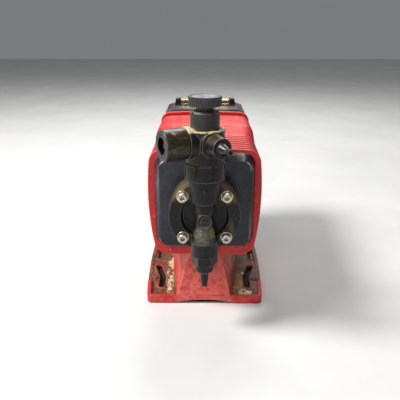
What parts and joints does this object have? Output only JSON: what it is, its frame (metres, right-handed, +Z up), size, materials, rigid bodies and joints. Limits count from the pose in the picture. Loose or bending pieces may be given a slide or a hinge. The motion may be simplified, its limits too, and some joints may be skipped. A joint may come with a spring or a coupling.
{
  "type": "diaphragm metering pump",
  "caption": "Small solenoid diaphragm metering pump with a ribbed housing on a slotted base, a round liquid end in front and a control panel behind.",
  "frame": {"origin": "centre of the base's underside", "axes": "+Z up, -Y towards the liquid end, +X to the right seen from the liquid end's front"},
  "size_m": [0.108, 0.242, 0.1841],
  "materials": {
    "red_plastic": "satin, worn",
    "navy_plastic": "satin",
    "black_plastic": "satin",
    "grey_plastic": "satin",
    "stainless": "machined",
    "drive_steel": "machined",
    "copper": "wound wire",
    "rubber": "matt",
    "ceramic": "polished",
    "panel_film": "matt",
    "window": "clear",
    "amber_clear": "clear, aged",
    "circuit": "satin"
  },
  "bodies": {
    "root": {"base": "red_plastic", "housing": "red_plastic", "front_cover": "navy_plastic", "control_housing": "navy_plastic", "head_bracket": "black_plastic", "pump_head": "black_plastic", "head_plug": "black_plastic", "suction_nut": "black_plastic", "union_nut": "black_plastic", "outlet_nut": "black_plastic", "bleed_nut": "black_plastic", "hinge_blocks": "black_plastic", "hinge_rail": "black_plastic", "signal_sockets": "black_plastic", "socket_caps": "black_plastic", "cable_gland": "black_plastic", "gland_nut": "black_plastic", "valve_body": "grey_plastic", "vent_bonnet": "grey_plastic", "bleed_nozzle": "grey_plastic", "shaft_bush": "grey_plastic", "suction_hose_tail": "grey_plastic", "outlet_hose_tail": "grey_plastic", "suction_guide": "grey_plastic", "discharge_guide": "grey_plastic", "suction_seat": "grey_plastic", "discharge_seat": "grey_plastic", "base_screws": "stainless", "head_bolts": "stainless", "head_washers": "stainless", "closing_screws": "stainless", "hinge_pin": "stainless", "return_spring": "stainless", "yoke": "drive_steel", "coil": "copper", "diaphragm": "rubber", "suction_gasket": "rubber", "control_gasket": "rubber", "spindle_ring": "rubber", "gland_seal": "rubber", "control_panel": "panel_film", "display_window": "window", "status_lamps": "window", "circuit_board": "circuit"},
    "plunger": {"plunger_shaft": "stainless", "armature": "drive_steel", "backing_disc": "stainless"},
    "suction_valve": {"suction_ball": "ceramic"},
    "discharge_valve": {"discharge_ball": "ceramic"},
    "vent_stem": {"vent_spindle": "stainless"},
    "vent_grip": {"vent_knob": "black_plastic", "knob_cap": "grey_plastic"},
    "stroke_setting": {"stroke_dial": "black_plastic", "stroke_screw": "stainless"},
    "key_one": {"key_1": "panel_film"},
    "key_two": {"key_2": "panel_film"},
    "key_three": {"key_3": "panel_film"},
    "key_four": {"key_4": "panel_film"},
    "clear_cover": {"panel_cover": "amber_clear"}
  },
  "joints": [
    {"name": "plunger_stroke", "type": "slide", "parent": "root", "child": "plunger", "axis": [0, -1, 0], "range_m": [0, 0.001], "stiffness_N_per_m": 2500, "deforming": ["return_spring", "diaphragm"]},
    {"name": "suction_ball_lift", "type": "slide", "parent": "root", "child": "suction_valve", "axis": [0, 0, 1], "range_m": [0, 0.0015]},
    {"name": "discharge_ball_lift", "type": "slide", "parent": "root", "child": "discharge_valve", "axis": [0, 0, 1], "range_m": [0, 0.0015]},
    {"name": "vent_lift", "type": "slide", "parent": "root", "child": "vent_stem", "axis": [0, 0, 1], "range_m": [0, 0.00075]},
    {"name": "vent_turn", "type": "hinge", "parent": "vent_stem", "child": "vent_grip", "pos_m": [0, -0.121, 0.18], "axis": [0, 0, 1], "range_deg": [0, 360]},
    {"name": "stroke_turn", "type": "hinge", "parent": "root", "child": "stroke_setting", "pos_m": [0, 0.08, 0.095], "axis": [0, 1, 0], "range_deg": [0, 270]},
    {"name": "key_1_press", "type": "slide", "parent": "root", "child": "key_one", "axis": [0, -1, 0], "range_m": [0, 0.0006], "stiffness_N_per_m": 1200},
    {"name": "key_2_press", "type": "slide", "parent": "root", "child": "key_two", "axis": [0, -1, 0], "range_m": [0, 0.0006], "stiffness_N_per_m": 1200},
    {"name": "key_3_press", "type": "slide", "parent": "root", "child": "key_three", "axis": [0, -1, 0], "range_m": [0, 0.0006], "stiffness_N_per_m": 1200},
    {"name": "key_4_press", "type": "slide", "parent": "root", "child": "key_four", "axis": [0, -1, 0], "range_m": [0, 0.0006], "stiffness_N_per_m": 1200},
    {"name": "cover_hinge", "type": "hinge", "parent": "root", "child": "clear_cover", "pos_m": [0, 0.058, 0.1533], "axis": [1, 0, 0], "range_deg": [0, 110]}
  ],
  "couplings": [
    {"joint": "vent_lift", "follows": "vent_turn", "m_per_rad": 0.00011937}
  ]
}
